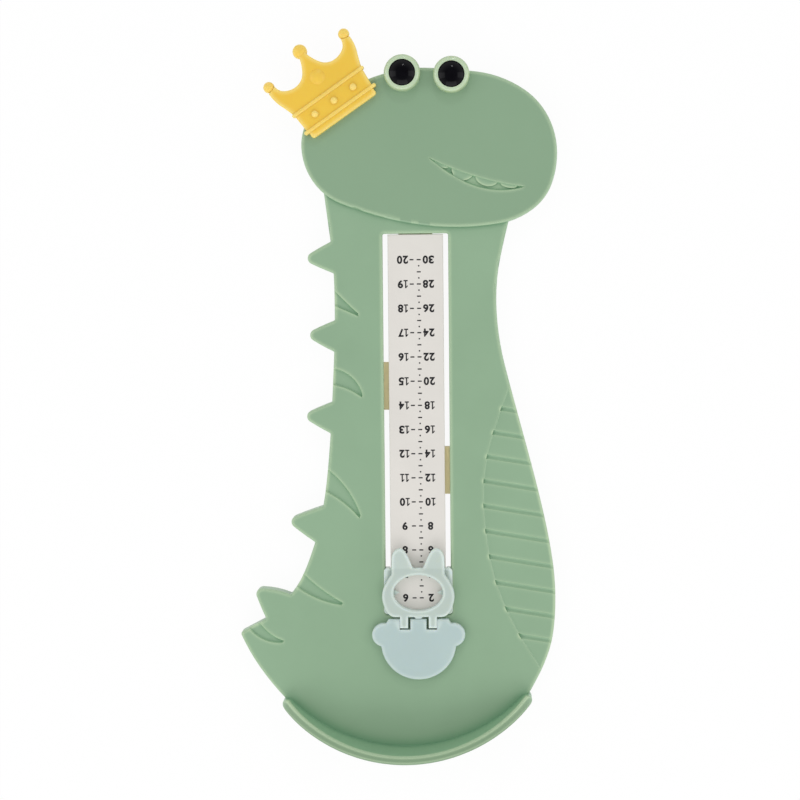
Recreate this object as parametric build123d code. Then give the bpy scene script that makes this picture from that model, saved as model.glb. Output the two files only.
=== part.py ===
from build123d import *

import os
from math import asin, atan2, cos, degrees, radians, sin, sqrt, tan

# A child's foot gauge: a moulded plate in the outline of a crowned dinosaur. The heel goes in a curved wall
# at the lower end, and a reading frame with a hinged toe stop slides along a printed scale.
#
# Millimetres. X runs across the slot, Y from the heel towards the head, and Z up from the underside.
# The origin is the zero of the scale, on the slot's centre line, at the level that the plate stands on.

# ---------------------------------------------------------------- the moulded plate
plate_height = 7.0        # underside to the top face of the body
skin = 2.5                # thickness of the top face
rim_wall = 2.4            # thickness of the wall turned down round the outline
top_round = 1.0           # rounding of the upper outer edges
head_relief = 1.6         # how far the head stands above the body
root_round = 0.6          # small radius in the corner between a spike and the back
recess_slope = 35         # lean of the sides of the recesses, in degrees from upright

# ---------------------------------------------------------------- scale and slot
lowest_reading = 62.4     # heel zero to the pointers with the frame at the lower end of the slot
highest_reading = 200.0   # the same at the upper end
slot_width = 27.0
slot_corner = 0.8
end_play = 0.3            # between the carriage and each end of the slot at the limits

# ---------------------------------------------------------------- outline of the body
neck_rail_right = 19.6    # slot edge to the right edge of the plate at its narrowest
neck_rail_left = 20.0     # slot edge to the back at its narrowest
belly_rail = 43.2         # slot edge to the widest point of the belly
belly_widest_y = 60.0
chest_rail = 39.6         # slot edge to the chest, above the belly
chest_y = 90.0
ribcage_rail = 29.8       # slot edge to the chest's upper end
ribcage_drop = 80.7       # upper end of the slot down to it
neck_drop = 28.0          # upper end of the slot down to the narrowest place on the right
collar_rail = 25.8        # slot edge to the neck under the head, on the right
collar_rise = 8.3
nape_rail = 24.4          # slot edge to the neck under the head, on the left
nape_rise = 21.3
back_neck_drop = 22.7     # upper end of the slot down to the narrowest place on the left
back_rail = 21.8          # slot edge to the back at the third spike
low_back_rail = 27.1      # slot edge to the back at the low spike
haunch_rail = 31.6        # slot edge to the back below it
haunch_y = 76.4
back_end_rail = 39.5      # slot edge to the upper foot of the tail's spike
back_end_y = 61.7
tail_root_rail = 49.9     # slot edge to the lower foot of that spike
tail_root_y = 51.6
tail_reach = 60.8         # slot edge to the tip of the tail
tail_tip_y = 45.9
tail_tip_round = 1.3
flank_inset = 0.9         # right flank inside the heel arc's inner radius
flank_angle = 62.8        # degrees from straight down to that point

# ---------------------------------------------------------------- head
head_length = 104.6
head_height = 65.2
head_gap = 2.4            # upper end of the slot to the lower edge of the head
head_shift = 6.0          # head centre to the right of the slot's centre line

# ---------------------------------------------------------------- spikes along the back
spike_length = 9.6
spike_base = 13.0         # width of a spike where it leaves the back
spike_bulge = 0.25        # outward bow of each flank
spike_tip_round = 2.5
spike_drops = (9.5, 41.8, 75.5)    # upper end of the slot down to the three upper spikes
spike_angles = (182, 177, 176)     # directions in which they point, in degrees
low_spike_y = 91.0
low_spike_angle = 173
low_spike_length = 11.2
low_spike_base = 15.0
tail_spike_length = 10.2
tail_spike_angle = 143
tail_spike_bulge = 0.9    # outward bow of its upper flank

# ---------------------------------------------------------------- surface relief
stripe_depth = 0.8
stripe_tip = 1.4          # width of a stripe's blunt end
stripe_run_out = 5.0      # how far the cutter runs past its two outer points
# Each stripe runs from its upper outer point to its tip and back, with a point on the way on both edges.
# First comes the distance from the slot's edge, then the height: down from the slot's upper end, or up from
# zero.
back_stripes = (
    ((19.2, 23.6), (14.3, 28.7), (10.1, 33.2), (14.0, 32.1), (19.1, 29.8)),
    ((19.3, 55.2), (12.6, 59.1), (8.8, 66.7), (13.5, 64.5), (19.4, 62.4)),
    ((22.9, 97.0), (15.4, 105.2), (10.3, 116.7), (17.9, 110.3), (23.9, 106.5)),
)
tail_stripes = (
    ((33.3, 69.9), (26.0, 63.6), (18.0, 57.6), (28.7, 60.0), (36.4, 64.4)),
    ((51.7, 49.1), (48.4, 45.7), (42.9, 41.9), (51.2, 42.9), (56.3, 46.6)),
)
belly_step = 0.35         # belly panel below the rest of the body
belly_slope = 55          # lean of the side of that step, in degrees from upright
belly_top_drop = 59.4     # upper end of the slot down to the upper end of the belly's edge
belly_top_rail = 25.9     # slot edge to that end
belly_near_rail = 13.6    # slot edge to the belly's edge where it comes nearest
belly_near_y = 103.0
belly_low_rail = 22.7
belly_low_y = 55.2
belly_foot_rail = 38.9
belly_foot_y = 27.0
groove_count = 10
groove_pitch = 10.36
groove_width = 1.9
groove_depth = 0.55
groove_tilt = -9.3        # degrees from the X axis
groove_middle = 31.5      # slot edge to the middle of the grooves
groove_top_drop = 73.9    # upper end of the slot down to the first groove there
mouth_depth = 1.0
tooth_drop = 0.4          # top of the teeth below the face
# The smile, as distances to the right of the head's centre and above it.
mouth_left = (-0.6, -3.9)
mouth_right = (39.4, -16.4)
upper_lip = (19.2, -11.9)
lower_lips = (12.3, -13.2), (27.0, -17.8)
tooth_spans = (0.05, 0.23), (0.256, 0.476), (0.5, 0.726), (0.75, 0.92)    # as shares of the upper lip
tooth_lengths = (1.5, 3.6, 2.9, 1.6)

# ---------------------------------------------------------------- heel cup
cup_shift = -5.8          # centre of the heel arc from the slot's centre line
cup_inner_radius = 67.0   # at the plate's top face
cup_wall = 4.4
cup_heel_offset = 1.8     # lowest point of the inner face below the scale's zero
cup_left_angle = 44.9     # degrees from straight down to the wall's left end
cup_right_angle = 46.7    # the same to its right end
cup_height = 16.6         # middle of the wall above the plate
cup_end_height = 3.0      # ends of the wall above the plate
cup_draft = 2.5           # outward lean of the inner face, in degrees
cup_lip_round = 0.7       # rounding of the lip
plate_edge_in_cup = 1.6   # how far the plate runs into the foot of the wall
left_foot_angle = 46.6    # degrees from straight down to the end of the plate's heel arc on the left
right_foot_angle = 48.0   # the same on the right

# ---------------------------------------------------------------- ribs and bosses under the plate
rib = 1.6
rib_recess = 1.0          # rib edges above the level of the rim
rib_seat_gap = 0.1        # between a lug of the scale strip and the notch that it goes through
rib_pitch = 28.0
rail_rib = 1.1            # slot edge to the rib beside it
outer_rib = 25.0          # slot edge to the outer long rib
boss_radius = 2.4

# ---------------------------------------------------------------- scale strip
strip_width = 22.8
strip_thickness = 1.6
strip_drop = 1.0          # top of the strip below the plate's top face
strip_end_gap = 0.3
strip_rib_x = 7.0
tongue_width = 14.0
tongue_length = 11.0      # beyond the end of the slot
tongue_thickness = 1.3
lug_length = 19.8
lug_stagger = 35.1        # between the middles of the two lugs along the scale
lug_drop = 1.5            # middle of the pair below the middle of the slot
lug_reach = 7.2           # beyond the slot's edge
lug_screw_x = 4.4         # beyond the slot's edge
tongue_screw_pitch = 7.6
strip_edge_round = 0.3
tongue_corner = 1.0

# ---------------------------------------------------------------- self-tapping screws
screw_radius = 1.0
screw_head_radius = 2.0
screw_head_height = 1.0
screw_bite = 3.0          # length held by the boss
screw_edge = 0.4          # chamfer of the head and of the point
cross_width = 0.5
cross_length = 2.2
cross_depth = 0.45
screw_fit = 0.02          # radial gap drawn between the screw and its holes

# ---------------------------------------------------------------- reading frame
carriage_above = 10.4     # pointers to the carriage's upper end
carriage_below = 8.9      # pointers to its lower end
carriage_corner = 1.6
slide_clearance = 0.15    # each side, in the slot
strip_clearance = 0.3     # over and beside the strip
lift = 0.3                # frame and flap above the plate
frame_thickness = 3.0
frame_round = 0.9
face_width = 30.0
face_bottom = 9.9         # pointers down to the face's straight lower edge
jaw_width = 18.6          # length of that straight edge
jaw_inset = 1.0           # upper end of the jaw inside the face's widest place
jaw_drop = 6.0            # pointers down to that end
cheek_drop = 1.4          # pointers down to the face's widest place
face_shoulder = 10.7      # pointers up to where the ears leave the face
ear_rise = 18.7           # pointers up to the tips of the ears
ear_tip_x = 7.5
ear_outer_x = 11.0        # outer foot of an ear
ear_outer_rise = 8.0      # pointers up to that foot
ear_side_x = 10.9         # outer side of an ear near its tip
ear_side_drop = 4.3       # tip of an ear down to there
ear_slope_shift = 2.6     # tip of an ear inwards to where its inner side starts
ear_slope_drop = 2.0      # tip of an ear down to there
ear_inner_x = 2.3         # inner foot of an ear
ear_inner_rise = 0.4      # that foot above the place where the ears leave the face
ear_thickness = 1.4       # thin enough to pass over the head
window_length = 20.4
window_height = 14.8
window_rise = 0.25        # pointers up to the window's centre
window_bevel = 0.5
pointer_root = 0.8        # how far the pointers reach into the frame
pointer_length = 2.4
pointer_base = 3.4
pointer_thickness = 0.8
carriage_proud = 1.0      # top of the carriage above the plate
carriage_flange = 0.7     # its flange beyond the slot's edges
leg_length = 6.0
leg_thickness = 1.6
hook_reach = 1.0
hook_height = 1.0
hook_clearance = 0.15     # under the edges of the slot

# ---------------------------------------------------------------- hinge
hinge_drop = 12.1         # pointers down to the hinge line
arm_inner_x = 4.3
arm_width = 3.3
arm_overhang = 2.5        # hinge line down to the ends of the arms
arm_notch_gap = 0.4       # between those ends and the flap
pin_radius = 0.8
pin_length = 1.1
pin_clearance = 0.05      # radial
arm_side_gap = 0.12       # between an arm and the flap on the pin's side
arm_flex_gap = 1.0        # between an arm and the flap's tongue
nub_width = 3.4
nub_height = 0.6

# ---------------------------------------------------------------- toe flap
flap_radius = 15.6
flap_centre_drop = 20.3   # pointers down to the middle of the round face
flap_ear_radius = 4.9
flap_ear_x = 14.4
flap_ear_drop = 17.2      # pointers down to the middle of the ears
flap_round = 0.8

# ---------------------------------------------------------------- crown
crown_angle = 34.6        # turn of the crown's base line, in degrees
crown_from_head = (-34.0, 12.8)    # middle of the base line from the head's centre
crown_thickness = 2.8
crown_lip_width = 31.8
crown_band_width = 32.4
crown_shoulder_width = 33.6
crown_rib_width = 35.4
crown_rib_low = 3.5
crown_rib_high = 12.1
crown_rib_size = 1.5
crown_rib_proud = 0.6
crown_tip_radius = 2.3
crown_middle_tip_radius = 3.0
crown_tip_x = 18.7
crown_tip_y = 27.6
crown_tip_neck_out = 1.5  # outer side of the neck under a side tip, from the tip's middle
crown_tip_neck_in = 2.2   # inner side of that neck
crown_middle_tip_y = 32.2
crown_middle_neck = 1.5
crown_valley_x = 9.8
crown_valley_y = 21.3
crown_bead_radius = 1.5
crown_bead_pitch = 9.5
crown_jewel_y = 19.6
crown_jewel_radius = 3.1
crown_jewel_proud = 1.0
crown_round = 0.5
crown_lip_round = 1.2
crown_sink = 0.5          # how far added parts reach into the crown's body
crown_peg_radius = 1.5
crown_peg_length = 3.6
crown_peg_x = 8.0
crown_peg_y = 4.6

# ---------------------------------------------------------------- eyes
eye_spacing = 20.0
eye_shift = -0.6          # middle between the eyes from the head's centre
eye_inset = 2.5           # left eye's centre below the top of the head
eye_step = 0.9            # right eye below the left one
eye_ring_radius = 7.45
eye_ring_height = 4.6
eye_ring_round = 1.9
eye_floor = 1.2
eye_pad_radius = 6.6
pupil_radius = 5.35
pupil_fit = 0.05
pupil_wall_height = 3.0
pupil_dome = 2.2
eye_peg_radius = 2.0
eye_peg_length = 4.0
peg_fit = 0.03

# ---------------------------------------------------------------- levels and places that follow
slot_edge = slot_width / 2
slot_bottom = lowest_reading - carriage_below - end_play
slot_top = highest_reading + carriage_above + end_play
slot_middle = (slot_bottom + slot_top) / 2
head_top = plate_height + head_relief
skin_under = plate_height - skin
head_skin_under = head_top - skin
web_top = (head_skin_under + plate_height) / 2    # inside the skin everywhere
head_x = head_shift
head_y = slot_top + head_gap + head_height / 2
cup_x = cup_shift
cup_y = cup_inner_radius - cup_heel_offset
strip_top = plate_height - strip_drop
strip_under = strip_top - strip_thickness
strip_low = slot_bottom + strip_end_gap
strip_high = slot_top - strip_end_gap
hook_top = skin_under - hook_clearance
hook_under = hook_top - hook_height
tongue_top = hook_under - strip_clearance
tongue_under = tongue_top - tongue_thickness
frame_under = plate_height + lift
frame_top = frame_under + frame_thickness
pointer_y = lowest_reading
hinge_y = pointer_y - hinge_drop
hinge_z = frame_under + frame_thickness / 2
hinge_radius = frame_thickness / 2
eye_y = head_y + head_height / 2 - eye_inset
eye_places = [
    (head_x + eye_shift - eye_spacing / 2, eye_y),
    (head_x + eye_shift + eye_spacing / 2, eye_y - eye_step),
]
crown_x = head_x + crown_from_head[0]
crown_y = head_y + crown_from_head[1]
far = 400.0               # longer than anything here, for cutting tools


# ---------------------------------------------------------------- helpers
def direction(heading):
    return Vector(cos(radians(heading)), sin(radians(heading)))


def arc_or_line(start, tangent, end):
    """An arc that leaves start along tangent and ends at end, or the line where that is straight."""
    chord = end - start
    sideways = abs(chord.X * tangent.Y - chord.Y * tangent.X)
    if sideways < 1e-6 * chord.length:
        return Line(start, end)
    return TangentArc(start, end, tangent=tangent)


def flow(stations):
    """Smooth run of tangent arcs through stations, each an (x, y, heading in degrees)."""
    edges = []
    for (ax, ay, a_heading), (bx, by, b_heading) in zip(stations, stations[1:]):
        a, b = Vector(ax, ay), Vector(bx, by)
        ta, tb = direction(a_heading), direction(b_heading)
        chord = b - a
        along = chord.dot(ta + tb)
        bend = 2 * (1 - ta.dot(tb))
        if bend < 1e-9:
            reach = chord.length ** 2 / (2 * along)
        else:
            reach = (sqrt(along ** 2 + bend * chord.length ** 2) - along) / bend
        near, late = a + ta * reach, b - tb * reach
        middle = (near + late) / 2
        edges.append(arc_or_line(a, ta, middle))
        edges.append(arc_or_line(middle, (late - near).normalized(), b))
    return edges


def region(edges):
    return make_face(Wire(edges))


def nearest(shape, x, y):
    """The vertex of a flat outline that lies nearest to a point."""
    return shape.vertices().sort_by_distance((x, y, 0))[0]


def prism(face, low, high):
    """A flat region raised from one level to another."""
    return extrude(Pos(0, 0, low) * face, high - low, dir=(0, 0, 1))


def block(x0, x1, y0, y1, z0, z1):
    return Pos((x0 + x1) / 2, (y0 + y1) / 2, (z0 + z1) / 2) * Box(x1 - x0, y1 - y0, z1 - z0)


def post(x, y, radius, z0, z1):
    return Pos(x, y, (z0 + z1) / 2) * Cylinder(radius, z1 - z0)


def recess(face, top, depth, slope):
    """A cutter for a recess whose sides lean in from its outline at the surface."""
    sunk = extrude(face, depth, taper=slope)
    if sunk.bounding_box().center().Z > 0:
        sunk = mirror(sunk, Plane.XY)
    return Pos(0, 0, top) * sunk + prism(face, top, top + depth)


def on_cup(radius, angle):
    """A point of the heel arc, at an angle in degrees from straight down, positive to the right."""
    return (cup_x + radius * sin(radians(angle)), cup_y - radius * cos(radians(angle)))


def edges_at(shape, level):
    """Edges that lie flat at one level."""
    flat = shape.edges().filter_by(lambda e: abs(e.bounding_box().min.Z - level) < 1e-4)
    return flat.filter_by(lambda e: abs(e.bounding_box().max.Z - level) < 1e-4)


# ---------------------------------------------------------------- outlines
edge_radius = cup_inner_radius + plate_edge_in_cup
right_foot = on_cup(edge_radius, right_foot_angle)
right_flank = on_cup(cup_inner_radius - flank_inset, flank_angle)
left_foot = on_cup(edge_radius, -left_foot_angle)
tail_tip = (-slot_edge - tail_reach, tail_tip_y)
back_end = (-slot_edge - back_end_rail, back_end_y)
tail_root = (-slot_edge - tail_root_rail, tail_root_y)


def body_outline():
    """The body without its spikes, from the right end of the heel arc round over the neck and back."""
    right = flow([
        (right_foot[0], right_foot[1], 60),
        (right_flank[0], right_flank[1], 69),
        (slot_edge + belly_rail, belly_widest_y, 90),
        (slot_edge + chest_rail, chest_y, 101.7),
        (slot_edge + ribcage_rail, slot_top - ribcage_drop, 105),
        (slot_edge + neck_rail_right, slot_top - neck_drop, 90.5),
        (slot_edge + collar_rail, slot_top + collar_rise, 75),
    ])
    left = flow([
        (-slot_edge - nape_rail, slot_top + nape_rise, -83),
        (-slot_edge - neck_rail_left, slot_top - back_neck_drop, -89),
        (-slot_edge - back_rail, slot_top - spike_drops[2], -93.5),
        (-slot_edge - low_back_rail, low_spike_y, -102.5),
        (-slot_edge - haunch_rail, haunch_y, -110),
        (back_end[0], back_end[1], -130),
    ])
    tail_top = Polyline(back_end, tail_root, tail_tip).edges()
    tail_low = flow([
        (tail_tip[0], tail_tip[1], -67),
        (left_foot[0], left_foot[1], -46.5),
    ])
    neck = Line(right[-1] @ 1, left[0] @ 0)
    heel = ThreePointArc(left_foot, on_cup(edge_radius, 0), right_foot)
    outline = region([*right, neck, *left, *tail_top, *tail_low, heel])
    return fillet(nearest(outline, *tail_tip), tail_tip_round)


def head_outline():
    """The head's closed curve, given as shares of its own half length and half height."""
    shape = [
        (1.0, -0.08, 90), (0.75, 0.705, 145), (-0.02, 0.993, 178), (-0.43, 0.885, 199),
        (-1.0, 0.02, 272), (-0.695, -0.69, 338), (0.23, -1.0, 0), (0.815, -0.775, 36.5), (1.0, -0.08, 90),
    ]
    half_length, half_height = head_length / 2, head_height / 2
    return region(flow([(head_x + fx * half_length, head_y + fy * half_height, h) for fx, fy, h in shape]))


def back_x(outline, y):
    """Where the back crosses one height of the outline."""
    return (outline & Line((-far, y), (0, y))).bounding_box().min.X


def apex_height(length, base):
    """Height of the triangle over base whose tip, rounded by spike_tip_round, ends at length."""
    centre = length - spike_tip_round
    flank = atan2(base / 2, centre) - asin(spike_tip_round / sqrt(centre ** 2 + base ** 2 / 4))
    return base / 2 / tan(flank)


def spike_shape(upper, lower, out, length, upper_bulge):
    """A rounded spike on the foot from upper to lower, reaching a few millimetres into the body."""
    base = (upper - lower).length
    tip = (upper + lower) / 2 + out * apex_height(length, base)
    inward = out * -rim_wall
    shape = region([
        SagittaArc(upper, tip, -upper_bulge),
        SagittaArc(tip, lower, -spike_bulge),
        Line(lower, lower + inward),
        Line(lower + inward, upper + inward),
        Line(upper + inward, upper),
    ])
    return fillet(nearest(shape, tip.X, tip.Y), spike_tip_round)


def back_spike(outline, y, length, base, heading):
    upper = Vector(back_x(outline, y + base / 2), y + base / 2)
    lower = Vector(back_x(outline, y - base / 2), y - base / 2)
    return spike_shape(upper, lower, direction(heading), length, spike_bulge)


def spiked_outline():
    plain = body_outline()
    drops = zip(spike_drops, spike_angles)
    places = [(slot_top - drop, spike_length, spike_base, angle) for drop, angle in drops]
    places.append((low_spike_y, low_spike_length, low_spike_base, low_spike_angle))
    outline = plain
    corners = [back_end, tail_root]
    for y, length, base, angle in places:
        outline += back_spike(plain, y, length, base, angle)
        for corner_y in (y - base / 2, y + base / 2):
            corners.append((back_x(plain, corner_y), corner_y))
    out = direction(tail_spike_angle)
    outline += spike_shape(Vector(*back_end), Vector(*tail_root), out, tail_spike_length, tail_spike_bulge)
    for x, y in corners:
        outline = fillet(nearest(outline, x, y), root_round)
    return outline


# ---------------------------------------------------------------- plate
def heel_wall():
    """The heel cup's curved wall: rounded ends, a leaning inner face and a lip that falls to both sides."""
    full = plate_height + cup_height
    outer = cup_inner_radius + cup_wall
    cap = cup_wall / 2
    sweep = cup_left_angle + cup_right_angle
    centre_line = CenterArc((cup_x, cup_y), outer - cap, -90 - cup_left_angle, sweep)
    wall = prism(SlotArc(centre_line, cup_wall), 0, full + 1)
    lean = tan(radians(cup_draft))
    low, high = plate_height - cap, full + cap
    inside = Cone(cup_inner_radius - cap * lean, cup_inner_radius + (high - plate_height) * lean, high - low)
    wall -= Pos(cup_x, cup_y, (low + high) / 2) * inside

    left, right = on_cup(outer, -cup_left_angle)[0], on_cup(outer, cup_right_angle)[0]
    crest_half = (right - left) / 2 / sqrt(1 - (cup_end_height / cup_height) ** 2)
    crest = Pos((left + right) / 2, cup_y, plate_height) * Rot(90, 0, 0) * Ellipse(crest_half, cup_height)
    foot = block(left - outer, right + outer, cup_y - 2 * outer, cup_y, 0, plate_height)
    wall &= extrude(crest, 2 * outer, dir=(0, -1, 0)) + foot
    lip = wall.faces().sort_by(Axis.Z)[-1].edges()
    return fillet(lip, cup_lip_round)


def stripe_face(points, inset):
    """Outline of a stripe, drawn in by inset on both edges and at its tip."""
    upper_root, upper_via, tip, lower_via, lower_root = [Vector(-slot_edge - x, y) for x, y in points]
    across = (upper_via - lower_via).normalized()
    back = ((upper_root + lower_root) / 2 - tip).normalized()
    end = tip + back * inset
    half_end = across * (stripe_tip / 2 - inset)
    drawn_in = across * inset
    upper = ThreePointArc(upper_root - drawn_in, upper_via - drawn_in, end + half_end)
    lower = ThreePointArc(end - half_end, lower_via + drawn_in, lower_root + drawn_in)
    upper_end = upper @ 0 - (upper % 0) * stripe_run_out
    lower_end = lower @ 1 + (lower % 1) * stripe_run_out
    return region([
        upper,
        Line(upper @ 1, lower @ 0),
        lower,
        Line(lower @ 1, lower_end),
        Line(lower_end, upper_end),
        Line(upper_end, upper @ 0),
    ])


def stripe(points):
    """A cutter for a claw-shaped recess that runs in from the back to a blunt tip and has sloped sides."""
    surface = stripe_face(points, 0)
    floor = stripe_face(points, stripe_depth * tan(radians(recess_slope)))
    sections = [Pos(0, 0, plate_height - stripe_depth) * floor, Pos(0, 0, plate_height) * surface]
    sunk = loft(sections, ruled=True)
    return sunk + prism(surface, plate_height, plate_height + stripe_depth)


def stripes():
    down = [[(x, slot_top - drop) for x, drop in points] for points in back_stripes]
    return [stripe(points) for points in (*down, *tail_stripes)]


def belly_panel():
    """The whole area to the right of the belly's edge, which runs from the chest down to the lower right."""
    e = slot_edge
    line = flow([
        (e + belly_top_rail, slot_top - belly_top_drop, -111),
        (e + belly_near_rail, belly_near_y, -90),
        (e + belly_low_rail, belly_low_y, -66),
        (e + belly_foot_rail, belly_foot_y, -57),
    ])
    start, end = line[0] @ 0, line[-1] @ 1
    beyond = slot_edge + 2 * belly_rail
    return region([
        *line,
        Line(end, (beyond, end.Y)),
        Line((beyond, end.Y), (beyond, start.Y)),
        Line((beyond, start.Y), start),
    ])


def belly_grooves(panel):
    """Straight rounded grooves across the belly panel, open at the edge of the plate."""
    floor = plate_height - belly_step
    radius = (groove_width ** 2 / 4 + groove_depth ** 2) / (2 * groove_depth)
    rod = Rot(0, 0, groove_tilt) * Rot(0, 90, 0) * Cylinder(radius, 2 * belly_rail)
    first = slot_top - groove_top_drop
    places = [Pos(slot_edge + groove_middle, first - k * groove_pitch) for k in range(groove_count)]
    grooves = Part() + [place * Pos(0, 0, floor - groove_depth + radius) * rod for place in places]
    return grooves & prism(panel, skin_under, far)


def mouth_edges():
    """Upper and lower lip of the smile."""
    centre = Vector(head_x, head_y)
    left, right = centre + Vector(mouth_left), centre + Vector(mouth_right)
    upper = ThreePointArc(left, centre + Vector(upper_lip), right)
    near, low = [centre + Vector(point) for point in lower_lips]
    lower = flow([(left.X, left.Y, -42), (near.X, near.Y, -29), (low.X, low.Y, -5), (right.X, right.Y, 18)])
    return upper, lower


def mouth():
    upper, lower = mouth_edges()
    return recess(region([upper, *lower]), head_top, mouth_depth, recess_slope)


def teeth():
    """Four rounded teeth that hang from the upper lip into the mouth."""
    lip = mouth_edges()[0]
    shapes = []
    for (start, end), length in zip(tooth_spans, tooth_lengths):
        a, b = lip @ start, lip @ end
        along = b - a
        heading = degrees(atan2(along.Y, along.X))
        low = (a + b) / 2 - direction(heading + 90) * length
        rise = direction(heading + 90) * mouth_depth
        hanging = flow([(a.X, a.Y, heading - 75), (low.X, low.Y, heading), (b.X, b.Y, heading + 75)])
        shape = region([*hanging, Line(b, b + rise), Line(b + rise, a + rise), Line(a + rise, a)])
        shapes.append(prism(shape, head_top - mouth_depth - tooth_drop, head_top - tooth_drop))
    return shapes


def strip_screw_places():
    """Two screws in each end tongue and one in each side lug."""
    half = tongue_screw_pitch / 2
    middle = tongue_length / 2
    places = [
        (-half, slot_bottom - middle), (half, slot_bottom - middle),
        (-half, slot_top + middle), (half, slot_top + middle),
    ]
    for side, y in lug_places():
        places.append((side * (slot_edge + lug_screw_x), y))
    return places


def crown_frame(x, y):
    """A point of the crown, given along and above its base line, in the plate's frame."""
    turn = radians(crown_angle)
    return (crown_x + x * cos(turn) - y * sin(turn), crown_y + x * sin(turn) + y * cos(turn))


def ribs(cavity):
    """A grid of ribs under the skin. Two of them wall off the bay where the hooks and the strip run."""
    bars = []
    for from_slot in (rail_rib, outer_rib):
        for side in (-1, 1):
            inner, outer = side * (slot_edge + from_slot), side * (slot_edge + from_slot + rib)
            bars.append(block(min(inner, outer), max(inner, outer), -far, far, rib_recess, web_top))
    bay_low, bay_high = slot_bottom - tongue_length - rib, slot_top + tongue_length + rib
    count = int((head_y + head_height / 2 - bay_low) / rib_pitch) + 1
    for k in range(-1, count):
        y = bay_low - rib + k * rib_pitch
        bars.append(block(-far, far, y, y + rib, rib_recess, web_top))
    half_bay = slot_edge + rail_rib
    web = Part() + bars - block(-half_bay, half_bay, bay_low, bay_high, 0, skin_under)
    heel_rib = block(-rib / 2, rib / 2, -cup_heel_offset, bay_low, 0, web_top)
    return (web + heel_rib) & prism(cavity, 0, web_top)


def lug_places():
    """The middle of each side lug along the scale, with the side it is on."""
    middle = slot_middle - lug_drop
    return [(-1, middle + lug_stagger / 2), (1, middle - lug_stagger / 2)]


def body_plate():
    low = spiked_outline()
    head = head_outline()
    core = body_outline() + head
    pads = [Pos(x, y) * Circle(eye_pad_radius) for x, y in eye_places]
    high = head + pads

    plate = extrude(low, plate_height)
    plate = fillet(edges_at(plate, plate_height), top_round)
    crest = extrude(high, head_top)
    crest = fillet(edges_at(crest, head_top), top_round)
    plate += crest
    plate += heel_wall()

    cavity = offset(core, -rim_wall)
    head_cavity = offset(head, -rim_wall)
    plate -= prism(cavity, 0, skin_under)
    plate -= prism(head_cavity, 0, head_skin_under)
    plate += ribs(cavity)

    for side, y in lug_places():
        notch = lug_length / 2 + strip_clearance
        inner, outer = side * slot_edge, side * (slot_edge + lug_reach + strip_clearance)
        plate -= block(min(inner, outer), max(inner, outer), y - notch, y + notch,
                       0, tongue_top + rib_seat_gap)
    for x, y in strip_screw_places():
        plate += post(x, y, boss_radius, tongue_top, web_top)
    for x, y in eye_places:
        plate += post(x, y, eye_peg_radius + rim_wall, head_top - eye_peg_length - 1, web_top)
    for side in (-1, 1):
        x, y = crown_frame(side * crown_peg_x, crown_peg_y)
        plate += post(x, y, crown_peg_radius + rim_wall / 2, head_top - crown_peg_length, web_top)

    slot = RectangleRounded(slot_width, slot_top - slot_bottom, slot_corner)
    slot_tool = prism(Pos(0, slot_middle) * slot, -1, plate_height + 1)
    plate -= slot_tool
    near = slot_edge + slot_corner
    rim = edges_at(plate, plate_height).filter_by_position(Axis.X, -near, near)
    rim = rim.filter_by_position(Axis.Y, slot_bottom - slot_corner, slot_top + slot_corner)
    plate = fillet(rim, top_round)

    panel = belly_panel()
    plate -= recess(panel, plate_height, belly_step, belly_slope)
    plate -= belly_grooves(panel)
    for cutter in stripes():
        plate -= cutter
    plate -= mouth()
    plate += teeth()

    for x, y in strip_screw_places():
        plate -= post(x, y, screw_radius + screw_fit, 0, tongue_top + screw_bite + screw_fit)
    for x, y in eye_places:
        plate -= post(x, y, eye_peg_radius + peg_fit, head_top - eye_peg_length - peg_fit, head_top + 1)
    for side in (-1, 1):
        x, y = crown_frame(side * crown_peg_x, crown_peg_y)
        plate -= post(x, y, crown_peg_radius + peg_fit, 0, head_top + 1)
    return plate


# ---------------------------------------------------------------- scale strip and its screws
def scale_strip():
    half = strip_width / 2
    bar = block(-half, half, strip_low, strip_high, strip_under, strip_top)
    bar = fillet(edges_at(bar, strip_top), strip_edge_round)
    for side in (-1, 1):
        x = side * (strip_rib_x - strip_thickness / 2)
        bar += block(x - strip_thickness / 2, x + strip_thickness / 2, strip_low, strip_high,
                     tongue_under, strip_top - strip_thickness / 2)
    ends = (
        (slot_bottom - tongue_length, strip_low + strip_thickness, strip_low),
        (strip_high - strip_thickness, slot_top + tongue_length, strip_high - strip_thickness),
    )
    for low, high, wall in ends:
        tongue = RectangleRounded(tongue_width, high - low, tongue_corner)
        bar += prism(Pos(0, (low + high) / 2) * tongue, tongue_under, tongue_top)
        bar += block(-tongue_width / 2, tongue_width / 2, wall, wall + strip_thickness,
                     tongue_under + strip_edge_round, strip_top - strip_thickness / 2)
    for side, y in lug_places():
        inner, outer = side * (strip_rib_x - strip_thickness), side * (slot_edge + lug_reach)
        lug = RectangleRounded(abs(outer - inner), lug_length, tongue_corner)
        bar += prism(Pos((inner + outer) / 2, y) * lug, tongue_under, tongue_top)
    for x, y in strip_screw_places():
        bar -= post(x, y, screw_radius + screw_fit, 0, tongue_top + screw_fit)
    return bar


def strip_screw(x, y):
    """A self-tapping screw, driven from below, with a cross recess."""
    head_under = tongue_under - screw_head_height
    point = tongue_top + screw_bite
    head = post(x, y, screw_head_radius, head_under, tongue_under)
    head = chamfer(edges_at(head, head_under), screw_edge)
    shank = chamfer(edges_at(post(x, y, screw_radius, tongue_under, point), point), screw_edge)
    for turn in (0, 90):
        bar = Rot(0, 0, turn) * Box(cross_length, cross_width, 2 * cross_depth)
        head -= Pos(x, y, head_under) * bar
    return head + shank


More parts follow.
